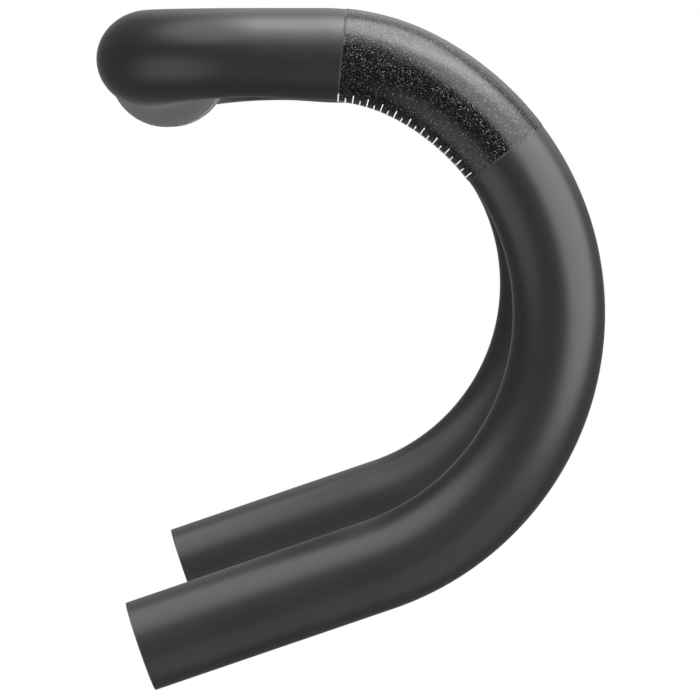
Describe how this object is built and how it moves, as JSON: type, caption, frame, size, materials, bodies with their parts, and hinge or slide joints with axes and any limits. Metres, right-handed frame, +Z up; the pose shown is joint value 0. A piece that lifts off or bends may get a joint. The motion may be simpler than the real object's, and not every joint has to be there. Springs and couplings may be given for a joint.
{
  "type": "drop handlebar",
  "caption": "Bare moulded drop handlebar: round stem clamp, oval tops, level ramps, round hooks and straight open drops, with gritty lever clamp zones.",
  "frame": {"origin": "centre of the stem clamp zone", "axes": "+X forward, +Y to the rider's left along the stem clamp's axis, +Z up; the ramps are level and the drops rise 18.9 degrees towards the front"},
  "size_m": [0.1342, 0.4442, 0.1767],
  "materials": {
    "matt_carbon": "satin black clear coat over moulded carbon laminate",
    "bare_carbon": "uncoated laminate with a peel-ply surface",
    "adhesive": "cured epoxy film",
    "grip_coating": "glossy black coating with embedded grit",
    "white_ink": "printed white ink",
    "glass_fibre": "dull moulded glass-fibre laminate"
  },
  "bodies": {
    "root": {"centre_section": "matt_carbon", "stem_clamp_reinforcement": "bare_carbon", "stem_clamp_coating": "grip_coating", "stem_clamp_scale": "white_ink", "right_drop_tube": "matt_carbon", "left_drop_tube": "matt_carbon", "right_joint_sleeve": "bare_carbon", "left_joint_sleeve": "bare_carbon", "right_joint_adhesive": "adhesive", "left_joint_adhesive": "adhesive", "right_lever_reinforcement": "bare_carbon", "left_lever_reinforcement": "bare_carbon", "right_lever_coating": "grip_coating", "left_lever_coating": "grip_coating", "right_lever_scale": "white_ink", "left_lever_scale": "white_ink", "right_end_insert": "glass_fibre", "left_end_insert": "glass_fibre", "right_end_adhesive": "adhesive", "left_end_adhesive": "adhesive"}
  },
  "joints": []
}
